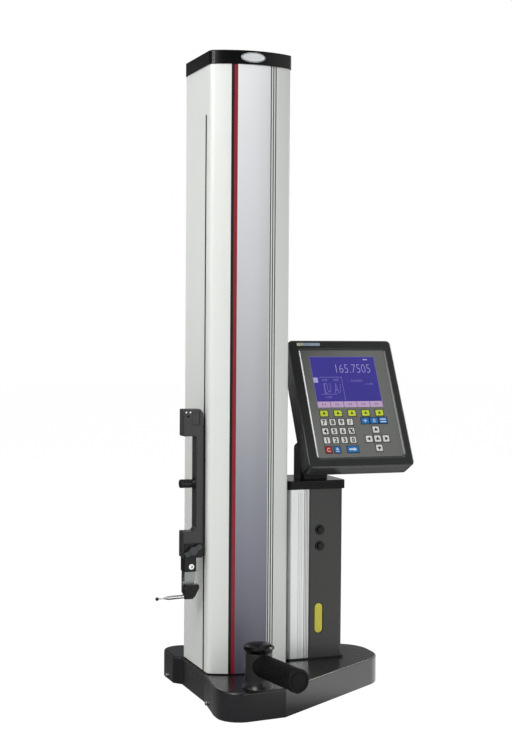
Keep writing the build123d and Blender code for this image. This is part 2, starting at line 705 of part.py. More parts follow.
def battery_pack():
    """Three rows of cells in a strapped pack, standing on the foot plate."""
    cells = block((96, 168), (8, 66), (PILLAR_Z[0], 180))
    cells = fillet(cells.edges().filter_by(Axis.Z), 6)
    for z in (80, 145):
        strap = block((95.4, 168.6), (7.4, 66.6), (z, z + 8))
        cells += fillet(strap.edges().filter_by(Axis.Z), 6)
    return cells


def control_board():
    """Circuit board behind the buttons, with its larger components."""
    board = block((90, 174), (-8, -6.4), (PILLAR_Z[0], 300))
    board += block((100, 124), (-6.4, -2.4), (90, 114))
    board += block((140, 164), (-6.4, 2), (200, 240))
    for i in range(4):
        x = 100 + 10 * i
        board += bar_y(x, 150, 4, (-6.4, 4))
    return board


# ---- display ----
def screen_plane():
    """Plane of the display's front, tilted back from upright."""
    tilt = radians(SCREEN_TILT)
    return Plane(origin=PANEL_C, x_dir=(1, 0, 0), z_dir=(0, -cos(tilt), sin(tilt)))


def on_screen(shape):
    """Move a shape drawn flat at the origin into the display's plane."""
    return screen_plane().location * shape


def display_neck():
    """Swivelling neck with the tongue of the tilt hinge."""
    z0 = PILLAR_Z[1] + PILLAR_CAP_H
    neck = Pos(NECK_X, NECK_Y, (z0 + NECK_TOP) / 2 + 0.05) * Box(NECK_W, NECK_D, NECK_TOP - z0 - 0.1)
    neck = fillet(neck.edges().filter_by(Axis.Z), 6)
    crown = neck.faces().sort_by(Axis.Z)[-1].edges().filter_by(Axis.Y)
    neck = fillet(crown, 9)
    tongue = block((NECK_X - 12, NECK_X + 12), (HINGE_Y, NECK_Y), (HINGE_Z - 7, HINGE_Z + 7))
    neck += tongue + bar_x(HINGE_Y, HINGE_Z, 7, (NECK_X - 12, NECK_X + 12))
    neck += bar_z(NECK_X, NECK_Y, 12, (z0 - 13, z0 + 1))
    for side in (-1, 1):
        span = sorted((NECK_X + side * 12, NECK_X + side * 30))
        neck -= bar_x(HINGE_Y, HINGE_Z, 8, span)
    return neck - bar_x(HINGE_Y, HINGE_Z, HINGE_PIN_R, (NECK_X - 13, NECK_X + 13))


def tilt_pin():
    return bar_x(HINGE_Y, HINGE_Z, HINGE_PIN_R, (NECK_X - 20, NECK_X + 20))


def case_plan(inset=0.0):
    plan = Pos(CASE_SHIFT, 0) * RectangleRounded(CASE_W, CASE_H, CASE_R)
    return offset(plan, amount=-inset) if inset else plan


def display_housing():
    """Hollow case with a rounded back and the two hinge ears."""
    case = extrude(Pos(0, 0, -CASE_T) * case_plan(), amount=CASE_T - SPLIT_DEPTH)
    case = fillet(case.faces().sort_by(Axis.Z)[0].outer_wire().edges(), 6)
    case -= extrude(Pos(0, 0, 3 - CASE_T) * case_plan(5), amount=CASE_T)
    case = on_screen(case)
    hinge = screen_plane().to_local_coords(Vector(NECK_X, HINGE_Y, HINGE_Z))
    for side in (-1, 1):
        span = sorted((hinge.X + side * 12.2, hinge.X + side * 20))
        ear = block(span, (hinge.Y - 7, hinge.Y + 7), (hinge.Z, 1 - CASE_T))
        ear += bar_x(hinge.Y, hinge.Z, 7, span)
        ear -= bar_x(hinge.Y, hinge.Z, HINGE_PIN_R + RUN_GAP, (span[0] - 1, span[1] + 1))
        case += on_screen(ear)
    return case


def display_bezel():
    """Front frame round the foil and the screen, closed behind them."""
    frame = extrude(Pos(0, 0, -SPLIT_DEPTH) * case_plan(), amount=SPLIT_DEPTH)
    frame = fillet(frame.faces().sort_by(Axis.Z)[-1].outer_wire().edges(), 2.5)
    face = RectangleRounded(FACE_W, FACE_H, 3)
    frame -= extrude(Pos(0, 0, -FACE_DEPTH - 1.2) * face, amount=1.2)
    wide = RectangleRounded(FACE_W + 2 * BEZEL_SLOPE, FACE_H + 2 * BEZEL_SLOPE, 3 + BEZEL_SLOPE)
    frame -= loft([Pos(0, 0, -FACE_DEPTH) * face, wide])
    lip = extrude(Pos(0, 0, -SPLIT_DEPTH - 4) * (case_plan(5.2) - case_plan(7.5)), amount=4)
    return on_screen(frame + lip)


def screen_window():
    x, y = LCD_AT
    glass = extrude(Pos(x, y, -FACE_DEPTH - 1.2) * Rectangle(LCD_W, LCD_H), amount=1.0)
    return on_screen(glass)


def keypad_foil():
    """Membrane foil over the whole face, open at the screen."""
    foil = RectangleRounded(FACE_W, FACE_H, 3)
    foil -= Pos(*LCD_AT) * Rectangle(LCD_W, LCD_H)
    return on_screen(extrude(Pos(0, 0, -FACE_DEPTH - 1.2) * foil, amount=1.2))


def key_fields(places, width, height):
    """Raised fields of the foil, one for each key."""
    fields = []
    for x, y in places:
        plan = Pos(x, y, -FACE_DEPTH) * RectangleRounded(width, height, 1.2)
        field = extrude(plan, amount=KEY_RISE)
        fields.append(on_screen(field))
    return fields


def keys_white():
    """Number block and the cross of arrow keys."""
    places = [(-55 + 15.2 * column, -33.7 - 15.6 * row) for row in range(3) for column in range(4)]
    fields = key_fields(places, 10, 10.5)
    cross = [(34, -47.8), (19, -63.8), (34, -63.8), (49, -63.8), (34, -79.8)]
    return fields + key_fields(cross, 11, 11)


def keys_yellow():
    return key_fields([(-52 + 24.5 * i, -18.3) for i in range(5)], 13, 10)


def keys_blue():
    fields = key_fields([(18, -32), (34, -32), (50, -32)], 13.5, 10)
    fields += key_fields([(-39.8, -81.3)], 10, 10.5)
    return fields + key_fields([(-12.7, -81.3)], 19.4, 10.5)


def key_red():
    return key_fields([(-55, -81.3)], 10, 10.5)


# ---- handle ----
def grip_bar(radius, reach):
    """Round bar along the grip's axis, measured out from the post's axis."""
    bar = bar_x(0, 0, radius, reach)
    return Pos(POST_X, POST_Y, GRIP_Z) * Rot(Z=GRIP_AIM - 90) * bar


def handle_post():
    """Post with a flared foot, bored for the air button's stem and the grip core."""
    wide = POST_R + POST_FLARE
    flare = ThreePointArc((wide, BASE_H + 2), (POST_R + 0.9, BASE_H + 8), (POST_R, BASE_H + 18))
    sides = Polyline((POST_R, BASE_H + 18), (POST_R, POST_TOP), (0, POST_TOP),
                     (0, BASE_H), (wide, BASE_H), (wide, BASE_H + 2))
    side = make_face(flare.edges() + sides.edges())
    post = Pos(POST_X, POST_Y) * revolve(Plane.XZ * side, axis=Axis.Z)
    post = chamfer(post.edges().filter_by(GeomType.CIRCLE).sort_by(Axis.Z)[-1], 1.0)
    post += bar_z(POST_X, POST_Y, 8, (BASE_H - 14, BASE_H))
    post -= bar_z(POST_X, POST_Y, STEM_R + RUN_GAP, (82, POST_TOP))
    return post - grip_bar(6, (14, 24))


def air_button():
    """Mushroom button on a stem that slides in the post."""
    profile = [(0, 112.5), (9, 111.9), (17, 110.2), (21.6, 107.6), (23.6, 105.3), (23.6, 103.2),
               (22.4, 101.8), (STEM_R, 101.8), (STEM_R, 86), (0, 86)]
    side = make_face(Polyline(*profile, close=True).edges())
    return Pos(POST_X, POST_Y) * revolve(Plane.XZ * side, axis=Axis.Z)


def grip_core():
    return grip_bar(6, (14, GRIP_END - 6))


def rubber_grip():
    """Rubber sleeve with rings of ribs."""
    sleeve = grip_bar(GRIP_R, (0, GRIP_END - 10))
    for i in range(12):
        x = 32 + 6.2 * i
        sleeve -= grip_bar(GRIP_R + 1, (x, x + 1.6)) - grip_bar(GRIP_R - 0.8, (x - 1, x + 3))
    sleeve -= bar_z(POST_X, POST_Y, POST_R, (BASE_H, POST_TOP + 1))
    return sleeve - grip_bar(6, (0, GRIP_END))


def grip_end_cap():
    """Knob on the end of the grip, with finger scallops round its rim."""
    cap = grip_bar(GRIP_R + 0.8, (GRIP_END - 10, GRIP_END))
    cap = chamfer(cap.edges().filter_by(GeomType.CIRCLE), 1.6)
    scallop = bar_x(0, GRIP_R + 4.2, 4.6, (GRIP_END - 11, GRIP_END + 1))
    for i in range(8):
        turn = Rot(Z=GRIP_AIM - 90) * Rot(X=22.5 + 45 * i)
        cap -= Pos(POST_X, POST_Y, GRIP_Z) * turn * scallop
    ring = grip_bar(GRIP_R - 3.5, (GRIP_END - 0.8, GRIP_END))
    ring -= grip_bar(GRIP_R - 5.5, (GRIP_END - 0.8, GRIP_END))
    return cap - ring - grip_bar(6, (GRIP_END - 11, GRIP_END - 6))


# ---- export ----
PARTS = [
    base_casting, air_pads, guide_pins, foot_seal, column_cover, trim_black, trim_red,
    front_panel, column_cap, cap_badge, column_beam, top_plate, guide_rail, glass_scale,
    motor_bracket, drive_motor, drive_pulley, top_pulley, drive_belt, counterweight,
    counterweight_rod, carriage_truck, guide_blocks, read_head, arm_plate, probe_bracket,
    bracket_screws, fine_knob, clamp_lever, probe_holder, probe_shank, holder_screw,
    swivel_head, stylus, stylus_ball, pillar_shell, pillar_cover, pillar_cap, pillar_foot,
    yellow_insert, button_bezels, power_button, pump_button, battery_pack, control_board,
    display_neck, tilt_pin, display_housing, display_bezel, keypad_foil, keys_white,
    keys_yellow, keys_blue, key_red, screen_window, handle_post, air_button, grip_core,
    rubber_grip, grip_end_cap,
]

os.makedirs("parts", exist_ok=True)
for make in PARTS:
    shape = make()
    if isinstance(shape, list):
        shape = Compound(children=shape)
    export_step(shape, "parts/" + make.__name__ + ".step")
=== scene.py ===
# %% [markdown]
# # A motorised height gauge, dressed for the camera
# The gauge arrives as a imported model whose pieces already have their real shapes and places.
# This lesson gives every piece the finish that it has in a workshop, and adds the fine things
# that a solid model leaves out: key legends, the picture on the screen, screw heads and seams.

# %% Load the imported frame
import math

import bpy
from mathutils import Matrix, Vector


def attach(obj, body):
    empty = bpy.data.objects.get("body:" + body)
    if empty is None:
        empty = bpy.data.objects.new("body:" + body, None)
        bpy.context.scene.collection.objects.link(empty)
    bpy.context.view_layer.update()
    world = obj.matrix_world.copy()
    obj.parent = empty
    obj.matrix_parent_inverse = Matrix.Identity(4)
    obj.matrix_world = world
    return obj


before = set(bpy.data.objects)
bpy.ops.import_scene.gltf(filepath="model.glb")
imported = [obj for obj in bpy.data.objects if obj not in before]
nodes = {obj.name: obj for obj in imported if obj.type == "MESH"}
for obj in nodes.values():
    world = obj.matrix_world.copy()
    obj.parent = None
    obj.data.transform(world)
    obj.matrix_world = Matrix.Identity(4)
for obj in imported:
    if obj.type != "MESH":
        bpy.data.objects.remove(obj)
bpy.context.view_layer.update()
bpy.ops.object.select_all(action="DESELECT")
print("nodes in the frame:", len(nodes))

# %% [markdown]
# ## Camera
# A tall instrument is seen from a little over two metres away with a short telephoto lens, so
# that its edges stay nearly parallel. The camera is turned by three angles: round the upright,
# down towards the base, and a hair of roll.

# %% Place the camera
CAMERA_AT = (-0.7505, -2.161, 0.579)
YAW, PITCH, ROLL = math.radians(19.99), math.radians(1.85), math.radians(0.40)
camera = bpy.data.objects.new("camera", bpy.data.cameras.new("camera"))
bpy.context.scene.collection.objects.link(camera)
turn = Matrix.Rotation(-YAW, 4, "Z") @ Matrix.Rotation(math.radians(90) - PITCH, 4, "X")
turn = turn @ Matrix.Rotation(ROLL, 4, "Z")
camera.matrix_world = Matrix.Translation(CAMERA_AT) @ turn
camera.data.sensor_fit = "VERTICAL"
camera.data.sensor_height = 36
camera.data.lens = 69.3
camera.data.clip_end = 60
bpy.context.scene.camera = camera
bpy.context.scene.view_settings.view_transform = "Standard"
print("lens:", round(camera.data.lens, 1), "mm, camera at", CAMERA_AT)

# %% [markdown]
# ## Two small helpers
# Colours are easiest to think of as the hex values of a paint program, but Blender's shaders
# want linear light, so one function converts them. A second function adds a shader node,
# fills its sockets and links it, which keeps each material short enough to read.

# %% Colour and node helpers
def linear(hexa):
    """sRGB hex colour as linear red, green, blue and alpha."""
    parts = [int(hexa[i:i + 2], 16) / 255 for i in (1, 3, 5)]
    return [p / 12.92 if p <= 0.04045 else ((p + 0.055) / 1.055) ** 2.4 for p in parts] + [1.0]


def add(tree, kind, settings=None, links=None):
    """Add one node: settings fill sockets or properties, links join other nodes' outputs."""
    new = tree.nodes.new(kind)
    for name, value in (settings or {}).items():
        if isinstance(name, int) or name in new.inputs:
            new.inputs[name].default_value = value
        else:
            setattr(new, name, value)
    for name, output in (links or {}).items():
        tree.links.new(output, new.inputs[name])
    return new


def finish(name, colour, roughness, metallic=0.0, specular=0.5):
    """Start a material: its tree, its surface shader and its object coordinates."""
    material = bpy.data.materials.new(name)
    material.use_nodes = True
    tree = material.node_tree
    shader = tree.nodes["Principled BSDF"]
    shader.inputs["Base Color"].default_value = linear(colour)
    shader.inputs["Roughness"].default_value = roughness
    shader.inputs["Metallic"].default_value = metallic
    shader.inputs["Specular IOR Level"].default_value = specular
    place = add(tree, "ShaderNodeTexCoord").outputs["Object"]
    return material, tree, shader, place


def dress(material, *names):
    """Give a finish to CAD nodes, whose shapes are already right."""
    for name in names:
        for slot in nodes[name].material_slots:
            slot.material = material
    print(material.name, "on", ", ".join(names))


# %% [markdown]
# ## Relief, wear and painted groove shade
# Every real surface has a grain: orange peel on paint, spark texture on mouldings, scratches
# on metal. One helper turns a noise of a given grain size into bump, softens hard edges with a
# bevel of the edge's real radius, and lets roughness wander a little, as handling does. A
# second helper paints shade into narrow grooves by darkening their colour where ambient
# occlusion finds close walls; it looks for them within a few millimetres.

# %% Surface relief helper
CLOUD_SCALE = 18.0        # patches of uneven gloss, about 55 mm across
GROOVE_REACH = 0.004      # how far a groove's walls may be apart and still look dark, in metres


def relief(tree, shader, place, grain_mm, depth_mm, edge_mm=0.4, stretch=(1, 1, 1), wander=0.04,
           groove_shade=0.0):
    """Bump of a given grain and depth, soft edges, slightly uneven gloss and painted groove shade.
    """
    scaled = add(tree, "ShaderNodeMapping", {"Scale": stretch}, {"Vector": place})
    grain = add(tree, "ShaderNodeTexNoise", {"Scale": 1000 / grain_mm, "Detail": 3.0},
                {"Vector": scaled.outputs["Vector"]})
    edge = add(tree, "ShaderNodeBevel", {"samples": 4, "Radius": edge_mm / 1000})
    bump = add(tree, "ShaderNodeBump", {"Strength": 0.6, "Distance": depth_mm / 1000},
               {"Height": grain.outputs["Fac"], "Normal": edge.outputs["Normal"]})
    tree.links.new(bump.outputs["Normal"], shader.inputs["Normal"])
    cloud = add(tree, "ShaderNodeTexNoise", {"Scale": CLOUD_SCALE, "Detail": 4.0},
                {"Vector": place})
    level = shader.inputs["Roughness"].default_value
    spread = add(tree, "ShaderNodeMapRange",
                 {"To Min": max(level - wander, 0.02), "To Max": level + wander},
                 {"Value": cloud.outputs["Fac"]})
    tree.links.new(spread.outputs["Result"], shader.inputs["Roughness"])
    if groove_shade:
        paint_groove_shade(tree, shader, groove_shade)


def paint_groove_shade(tree, shader, groove_shade):
    """Paint shade into narrow grooves: darken the colour where ambient occlusion finds close
    walls.
    """
    shade = add(tree, "ShaderNodeAmbientOcclusion", {"samples": 8, "only_local": True,
                                                     "Distance": GROOVE_REACH})
    open_part = add(tree, "ShaderNodeMapRange", {"From Min": 0.30, "From Max": 0.85,
                                                 "To Min": 1 - groove_shade, "To Max": 1.0},
                    {"Value": shade.outputs["AO"]})
    base = shader.inputs["Base Color"]
    tinted = add(tree, "ShaderNodeMix", {"data_type": "RGBA", "blend_type": "MULTIPLY", 0: 1.0,
                                         6: base.default_value},
                 {7: open_part.outputs["Result"]})
    tree.links.new(tinted.outputs[2], base)


# %% [markdown]
# ## Column cover: pale powder coat
# The tall cover is sheet aluminium with a satin powder coat. Powder melts into a skin with a
# faint orange peel about two millimetres across, so highlights on its rounded corners are
# soft-edged but bright.

# %% Powder coat on the column
coat, tree, shader, place = finish("satin_powder_coat", "#E2E5E1", 0.34)
# Painted shade: the cover's flutes and seams are darkened in colour where ambient occlusion finds
# a narrow groove.
relief(tree, shader, place, 2.2, 0.012, edge_mm=0.5, groove_shade=0.75)
dress(coat, "column_cover")

# %% [markdown]
# ## Stripes and front panel
# A black and a dark red stripe are gloss film let into the front. Beside them runs a printed
# panel, silver at the top and darkening towards the base. Its print is a gradient along the
# height, built from a colour ramp on the Z coordinate in metres.

# %% Stripe films
for name, colour, node in (("black_gloss_film", "#0B0606", "trim_black"),
                           ("red_gloss_film", "#8C1B2A", "trim_red")):
    film, tree, shader, place = finish(name, colour, 0.3)
    relief(tree, shader, place, 1.5, 0.004, edge_mm=0.15)
    dress(film, node)

# %% Printed panel
panel, tree, shader, place = finish("printed_polycarbonate", "#C8CACC", 0.33)
axes = add(tree, "ShaderNodeSeparateXYZ", links={"Vector": place})
PANEL_LOW, PANEL_HIGH = 0.046, 0.979
height = add(tree, "ShaderNodeMapRange", {"From Min": PANEL_LOW, "From Max": PANEL_HIGH},
             {"Value": axes.outputs["Z"]})
ramp = add(tree, "ShaderNodeValToRGB", links={"Fac": height.outputs["Result"]})
shades = [(0.0, "#525260"), (0.10, "#6D6D7B"), (0.20, "#80818F"), (0.30, "#92959F"),
          (0.44, "#B0B2B8"), (0.62, "#C8CACE"), (0.80, "#DADCE0"), (1.0, "#EBECEE")]
while len(ramp.color_ramp.elements) < len(shades):
    ramp.color_ramp.elements.new(0.5)
for element, (position, colour) in zip(ramp.color_ramp.elements, shades):
    element.position = position
    element.color = linear(colour)
tree.links.new(ramp.outputs["Color"], shader.inputs["Base Color"])
relief(tree, shader, place, 0.5, 0.003, edge_mm=0.2)
dress(panel, "front_panel")

# %% [markdown]
# ## Base: semi-gloss enamel on cast iron
# The base is an iron casting, ground all round and sprayed with dark enamel. Enamel levels out
# to a fairly smooth skin that mirrors the room softly, over a slight waviness of the casting.

# %% Enamel on the base
enamel, tree, shader, place = finish("semi_gloss_enamel", "#17181B", 0.28)
shader.inputs["Coat Weight"].default_value = 0.3
shader.inputs["Coat Roughness"].default_value = 0.16
relief(tree, shader, place, 3.0, 0.02, edge_mm=1.0, wander=0.05)
dress(enamel, "base_casting")

# %% Other pieces of the base
lapped, tree, shader, place = finish("lapped_steel", "#9DA0A4", 0.3, 1.0)
relief(tree, shader, place, 0.4, 0.002, edge_mm=0.2)
dress(lapped, "air_pads")
seal, tree, shader, place = finish("nitrile_rubber", "#0A0A0A", 0.75, specular=0.2)
relief(tree, shader, place, 0.6, 0.02, edge_mm=0.2)
dress(seal, "foot_seal", "drive_belt")

# %% [markdown]
# ## Mouldings in near-black ABS
# Caps, neck, display case and pillar cover are injection mouldings. The caps come from a
# polished tool and are almost black. The others come from a spark eroded tool, which leaves a
# fine matt grain about half a millimetre across; it keeps dark plastic from looking like a
# mirror and lets the case read as grey beside the caps.

# %% Polished and grained ABS
gloss_black, tree, shader, place = finish("polished_black_abs", "#040504", 0.18, specular=0.25)
relief(tree, shader, place, 2.5, 0.004, edge_mm=0.8)
dress(gloss_black, "column_cap", "pillar_cap")
abs_black, tree, shader, place = finish("grained_abs", "#0F100F", 0.42, specular=0.3)
relief(tree, shader, place, 0.55, 0.02, edge_mm=0.8)
dress(abs_black, "pillar_foot", "display_neck")
case_abs, tree, shader, place = finish("grained_case_abs", "#2B2E2C", 0.2)
relief(tree, shader, place, 0.6, 0.008, edge_mm=2.4)
dress(case_abs, "display_housing", "display_bezel")
side_cover, tree, shader, place = finish("grained_pillar_abs", "#262925", 0.38, specular=0.5)
relief(tree, shader, place, 0.6, 0.02, edge_mm=0.5)
dress(side_cover, "pillar_cover")

# %% [markdown]
# ## Bare metals
# Natural anodised extrusions show long, very fine die lines, so their grain is stretched a
# hundredfold along Z. The badge is brushed along its length. Turned steel is bright and sharp,
# ground steel darker, milled aluminium soft and pale.

# %% Anodised extrusion and badge
drawn, tree, shader, place = finish("natural_anodised_aluminium", "#C6C8C7", 0.36, 1.0)
# Painted shade: the extrusion's grooves are darkened in colour where ambient occlusion finds close
# walls.
relief(tree, shader, place, 0.5, 0.01, edge_mm=0.3, stretch=(1, 1, 0.01), groove_shade=0.7)
dress(drawn, "pillar_shell")
badge, tree, shader, place = finish("brushed_anodised_plate", "#DADDDF", 0.3, 0.3)
relief(tree, shader, place, 0.3, 0.006, edge_mm=0.3, stretch=(0.02, 1, 1))
dress(badge, "cap_badge")

# %% Steels
turned, tree, shader, place = finish("turned_steel", "#D2D3D4", 0.2, 1.0)
relief(tree, shader, place, 0.25, 0.002, edge_mm=0.1)
dress(turned, "stylus", "holder_screw", "bracket_screws", "tilt_pin", "grip_core")
ceramic, tree, shader, place = finish("silicon_nitride", "#131315", 0.08)
relief(tree, shader, place, 0.2, 0.0005, edge_mm=0.1)
dress(ceramic, "stylus_ball")
ground, tree, shader, place = finish("ground_steel", "#8E9291", 0.34, 1.0)
relief(tree, shader, place, 0.3, 0.004, edge_mm=0.2, stretch=(0.05, 1, 1))
dress(ground, "probe_shank", "guide_rail", "guide_blocks", "counterweight_rod")
milled, tree, shader, place = finish("milled_aluminium", "#B4B6B8", 0.38, 1.0)
relief(tree, shader, place, 0.6, 0.01, edge_mm=0.3, stretch=(1, 1, 0.1))
dress(milled, "column_beam", "top_plate", "motor_bracket", "carriage_truck", "read_head",
      "drive_pulley", "top_pulley", "guide_pins")

# %% [markdown]
# ## Carriage: dark anodised alloy
# The probe bracket is milled from bar and hard anodised to a dark grey. The oxide is matt and
# slightly metallic, with fine cutter marks across the faces. Its small parts are blackened
# steel, moulded phenolic and, on the clamp lever, a smooth grey-blue lacquer.

# %% Hard anodised bracket
oxide, tree, shader, place = finish("hard_anodised_alloy", "#2E302E", 0.38, 0.1, specular=0.5)
relief(tree, shader, place, 0.5, 0.008, edge_mm=0.5, stretch=(1, 1, 0.2))
dress(oxide, "probe_bracket")
black_oxide, tree, shader, place = finish("black_oxide", "#0D0E0E", 0.32, specular=0.3)
relief(tree, shader, place, 0.5, 0.006, edge_mm=0.5)
dress(black_oxide, "probe_holder", "swivel_head", "arm_plate")
phenolic, tree, shader, place = finish("moulded_phenolic", "#0C0D0E", 0.24, specular=0.35)
relief(tree, shader, place, 1.2, 0.006, edge_mm=0.6)
dress(phenolic, "fine_knob")
dress(gloss_black, "air_button", "button_bezels", "power_button", "pump_button")
lacquer, tree, shader, place = finish("grey_blue_lacquer", "#262D31", 0.22)
relief(tree, shader, place, 1.2, 0.006, edge_mm=0.8)
dress(lacquer, "clamp_lever")

# %% [markdown]
# ## Handle
# The post is black enamelled steel. The grip is a ribbed rubber sleeve, which is matt and
# almost swallows the light.

# %% Post and grip
post, tree, shader, place = finish("black_stove_enamel", "#1A1B1A", 0.3, specular=0.5)
relief(tree, shader, place, 1.5, 0.01, edge_mm=0.6)
dress(post, "handle_post")
rubber, tree, shader, place = finish("grip_rubber", "#080908", 0.6, specular=0.2)
relief(tree, shader, place, 0.7, 0.03, edge_mm=0.4)
dress(rubber, "rubber_grip", "grip_end_cap")

# %% [markdown]
# ## Things inside the housings
# Nobody sees these until a cover comes off, but a part that is opened or cut should still look
# right, so each gets the plain finish of its trade.

# %% Inner pieces
for name, colour, rough, metal, names in (
        ("cast_iron", "#4A4A48", 0.6, 0.8, ["counterweight"]),
        ("black_motor_lacquer", "#18181A", 0.4, 0.0, ["drive_motor"]),
        ("scale_glass", "#A8B4B6", 0.1, 0.0, ["glass_scale"]),
        ("shrink_wrap", "#2C4C86", 0.3, 0.0, ["battery_pack"]),
        ("solder_mask", "#1D5A34", 0.35, 0.0, ["control_board"])):
    inner, tree, shader, place = finish(name, colour, rough, metal)
    relief(tree, shader, place, 1.0, 0.01)
    dress(inner, *names)

# %% [markdown]
# ## Yellow insert
# A slip of yellow polycarbonate, moulded glossy and slightly translucent.

# %% Yellow insert
amber, tree, shader, place = finish("yellow_polycarbonate", "#D6CD3B", 0.28)
relief(tree, shader, place, 1.5, 0.004, edge_mm=0.3)
dress(amber, "yellow_insert")

# %% [markdown]
# ## Keypad foil
# The keypad is one polyester foil, printed from behind. The print is even and slightly
# pebbled. Key fields are embossed by half a millimetre and carry their own colour.

# %% Foil and key prints
for name, colour, node in (("printed_foil_grey", "#6A6C69", "keypad_foil"),
                           ("printed_foil_white", "#D9DAD6", "keys_white"),
                           ("printed_foil_yellow", "#C6D43C", "keys_yellow"),
                           ("printed_foil_blue", "#2270B4", "keys_blue"),
                           ("printed_foil_red", "#AE2626", "key_red")):
    foil, tree, shader, place = finish(name, colour, 0.42)
    relief(tree, shader, place, 0.35, 0.006, edge_mm=0.25)
    dress(foil, node)

# %% [markdown]
# ## Screen
# The screen is a lit liquid crystal panel behind glass. It gives its own light, so the picture
# is emission, and the glass over it is a clear glossy coat. The picture is drawn in the
# screen's own plane: a mapping node slides and tilts the coordinates into it. Along the lower
# edge runs a pale bar that is split into soft keys of equal width.

# %% Screen plane
TILT = math.radians(26.5)
SCREEN_CENTRE = Vector((0.1968, -0.015, 0.4584))
across = Vector((1, 0, 0))
upward = Vector((0, math.sin(TILT), math.cos(TILT)))
outward = Vector((0, -math.cos(TILT), math.sin(TILT)))
to_screen = Matrix((across, upward, outward)).transposed().to_4x4()
screen_plane = Matrix.Translation(SCREEN_CENTRE) @ to_screen
print("screen faces", [round(c, 3) for c in outward])

# %% Lit picture
SOFT_BAR_TOP = 0.0028     # upper edge of the soft keys on the screen plane, in metres
SOFT_HALF = 0.0116        # half the distance from one soft key to the next
SOFT_START = 0.0605       # from the middle of the plane to the left end of the row
SOFT_GAP = 0.0006         # half the width of the line between two keys
lcd, tree, shader, place = finish("lit_screen", "#10102A", 0.12)
inverse = screen_plane.inverted()
flat = add(tree, "ShaderNodeMapping",
           {"Location": inverse.translation, "Rotation": inverse.to_euler()}, {"Vector": place})
axes = add(tree, "ShaderNodeSeparateXYZ", links={"Vector": flat.outputs["Vector"]})
soft_bar = add(tree, "ShaderNodeMath", {"operation": "LESS_THAN", 1: SOFT_BAR_TOP},
               {0: axes.outputs["Y"]})
along = add(tree, "ShaderNodeMath", {"operation": "ADD", 1: SOFT_START}, {0: axes.outputs["X"]})
cell = add(tree, "ShaderNodeMath", {"operation": "PINGPONG", 1: SOFT_HALF},
           {0: along.outputs[0]})
gap = add(tree, "ShaderNodeMath", {"operation": "LESS_THAN", 1: SOFT_GAP}, {0: cell.outputs[0]})
tint = add(tree, "ShaderNodeMix",
           {"data_type": "RGBA", 6: linear("#C3A6C6"), 7: linear("#7A6AA8")},
           {0: gap.outputs[0]})
fade = add(tree, "ShaderNodeTexNoise", {"Scale": 14.0}, {"Vector": flat.outputs["Vector"]})
blue = add(tree, "ShaderNodeMix",
           {"data_type": "RGBA", 6: linear("#37328A"), 7: linear("#453E98")},
           {0: fade.outputs["Fac"]})
picture = add(tree, "ShaderNodeMix", {"data_type": "RGBA"},
              {0: soft_bar.outputs[0], 6: blue.outputs[2], 7: tint.outputs[2]})
tree.links.new(picture.outputs[2], shader.inputs["Emission Color"])
shader.inputs["Emission Strength"].default_value = 0.85
dress(lcd, "screen_window")

# %% [markdown]
# ## How the small pieces are modelled
# The fine things are modelled by hand, each in the same order: deselect, add a primitive at its
# size, shape it in edit mode, and put its place into its mesh. A few helpers hold the steps that
# never change. One of them selects faces by the direction that they face, as a click would.

# %% Modelling helpers
MM = 0.001
ops = bpy.ops


def start_piece():
    """Leave nothing selected, so that the next operator meets only its own piece."""
    ops.object.select_all(action="DESELECT")


def pick_faces(direction, limit=0.9):
    """In edit mode, select only the faces that look in one direction."""
    mesh = bpy.context.object.data
    ops.mesh.select_mode(type="FACE")
    ops.mesh.select_all(action="DESELECT")
    ops.object.mode_set(mode="OBJECT")
    for face in mesh.polygons:
        face.select = face.normal.dot(Vector(direction)) > limit
    ops.object.mode_set(mode="EDIT")


def pick_edges(test):
    """In edit mode, select only the edges whose two ends pass a test."""
    mesh = bpy.context.object.data
    ops.mesh.select_mode(type="EDGE")
    ops.mesh.select_all(action="DESELECT")
    ops.object.mode_set(mode="OBJECT")
    for edge in mesh.edges:
        edge.select = test(*[mesh.vertices[v].co for v in edge.vertices])
    ops.object.mode_set(mode="EDIT")


def bar(size, centre):
    """A box of a size in millimetres, its scale already in its mesh."""
    start_piece()
    ops.mesh.primitive_cube_add(size=1, location=[c * MM for c in centre])
    piece = bpy.context.object
    piece.scale = [v * MM for v in size]
    ops.object.transform_apply(location=True, rotation=False, scale=True)
    return piece


def round_corners(piece, radius, segments=3):
    """Round the four edges of a plate that run through its thickness, Z."""
    ops.object.mode_set(mode="EDIT")
    pick_edges(lambda a, b: abs((a - b).normalized().z) > 0.99)
    ops.mesh.bevel(offset=radius * MM, segments=segments, affect="EDGES")
    ops.object.mode_set(mode="OBJECT")
    return piece


def join(pieces):
    """Join pieces into the first of them."""
    start_piece()
    for piece in pieces:
        piece.select_set(True)
    bpy.context.view_layer.objects.active = pieces[0]
    if len(pieces) > 1:
        ops.object.join()
    return bpy.context.object


def copies(model, places):
    """Copy a model to several places, each copy with its own mesh, and join them."""
    made = []
    for place in places:
        twin = model.copy()
        twin.data = model.data.copy()
        bpy.context.scene.collection.objects.link(twin)
        twin.matrix_world = place
        made.append(twin)
    bpy.data.objects.remove(model)
    return join(made)


def settle(piece, name, material, body, place=None):
    """Put a finished piece's place in its mesh, weld it, dress it and let it ride."""
    join([piece])
    piece.matrix_world = (place or Matrix()) @ piece.matrix_basis
    ops.object.transform_apply(location=True, rotation=True, scale=True)
    ops.object.mode_set(mode="EDIT")
    ops.mesh.select_all(action="SELECT")
    ops.mesh.remove_doubles(threshold=0.000002)
    ops.mesh.normals_make_consistent(inside=False)
    ops.object.mode_set(mode="OBJECT")
    piece.name = piece.data.name = name
    piece.data.materials.clear()
    piece.data.materials.append(material)
    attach(piece, body)
    print(name, "has", len(piece.data.polygons), "faces and rides on", body)
    return piece


